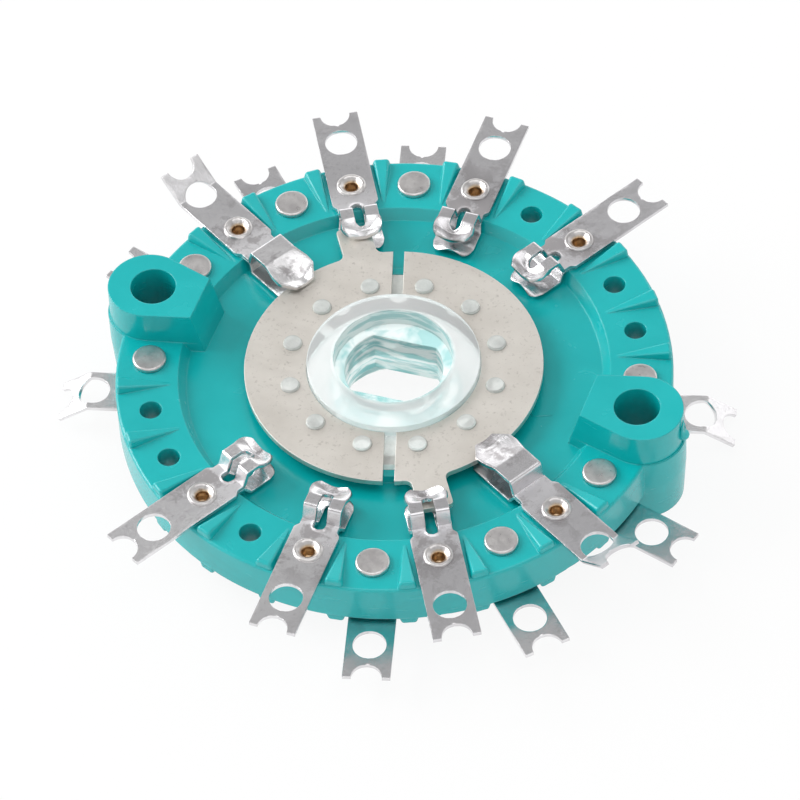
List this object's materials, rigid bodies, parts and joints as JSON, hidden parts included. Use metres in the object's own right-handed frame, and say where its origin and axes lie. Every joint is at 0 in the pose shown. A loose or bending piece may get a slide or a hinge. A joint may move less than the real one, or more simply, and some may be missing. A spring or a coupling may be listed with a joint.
{
  "type": "rotary wafer switch deck",
  "caption": "Round deck of a rotary switch: a ribbed moulded ring carries riveted solder-lug contacts on both faces, which wipe plated blades on a clear rotor turned by a flatted spindle.",
  "frame": {"origin": "on the rotor's axis, level with the lower ends of the two fixing bosses", "axes": "+Z along the rotor's axis towards the face seen in the picture, +X through the centre of one fixing boss"},
  "size_m": [0.044, 0.0448, 0.0078],
  "materials": {
    "stator_plastic": "teal moulding, glossy",
    "clear_plastic": "clear moulding, polished",
    "blade_plate": "silver plate, satin",
    "contact_plate": "silver plate over spring brass, bright with light tarnish",
    "rivet_plate": "tin plate, dull, bare brass inside the hollow ends"
  },
  "bodies": {
    "stator_body": {"lug_leaf_bottom_a_common": "contact_plate", "lug_leaf_bottom_a_way_1": "contact_plate", "lug_leaf_bottom_a_way_2": "contact_plate", "lug_leaf_bottom_a_way_3": "contact_plate", "lug_leaf_bottom_b_common": "contact_plate", "lug_leaf_bottom_b_way_1": "contact_plate", "lug_leaf_bottom_b_way_2": "contact_plate", "lug_leaf_bottom_b_way_3": "contact_plate", "lug_leaf_top_a_common": "contact_plate", "lug_leaf_top_a_way_1": "contact_plate", "lug_leaf_top_a_way_2": "contact_plate", "lug_leaf_top_a_way_3": "contact_plate", "lug_leaf_top_b_common": "contact_plate", "lug_leaf_top_b_way_1": "contact_plate", "lug_leaf_top_b_way_2": "contact_plate", "lug_leaf_top_b_way_3": "contact_plate", "rivets_bottom_contacts": "rivet_plate", "rivets_top_contacts": "rivet_plate", "spring_leaf_bottom_a_common": "contact_plate", "spring_leaf_bottom_a_way_1": "contact_plate", "spring_leaf_bottom_a_way_2": "contact_plate", "spring_leaf_bottom_a_way_3": "contact_plate", "spring_leaf_bottom_b_common": "contact_plate", "spring_leaf_bottom_b_way_1": "contact_plate", "spring_leaf_bottom_b_way_2": "contact_plate", "spring_leaf_bottom_b_way_3": "contact_plate", "spring_leaf_top_a_common": "contact_plate", "spring_leaf_top_a_way_1": "contact_plate", "spring_leaf_top_a_way_2": "contact_plate", "spring_leaf_top_a_way_3": "contact_plate", "spring_leaf_top_b_common": "contact_plate", "spring_leaf_top_b_way_1": "contact_plate", "spring_leaf_top_b_way_2": "contact_plate", "spring_leaf_top_b_way_3": "contact_plate", "stator": "stator_plastic"},
    "rotor_body": {"blade_bottom_a": "blade_plate", "blade_bottom_b": "blade_plate", "blade_top_a": "blade_plate", "blade_top_b": "blade_plate", "rotor_hub": "clear_plastic"}
  },
  "joints": [
    {"name": "rotor_turn", "type": "hinge", "parent": "stator_body", "child": "rotor_body", "pos_m": [0, 0, 0.0039], "axis": [0, 0, 1], "range_deg": [-62.8, 0]}
  ]
}
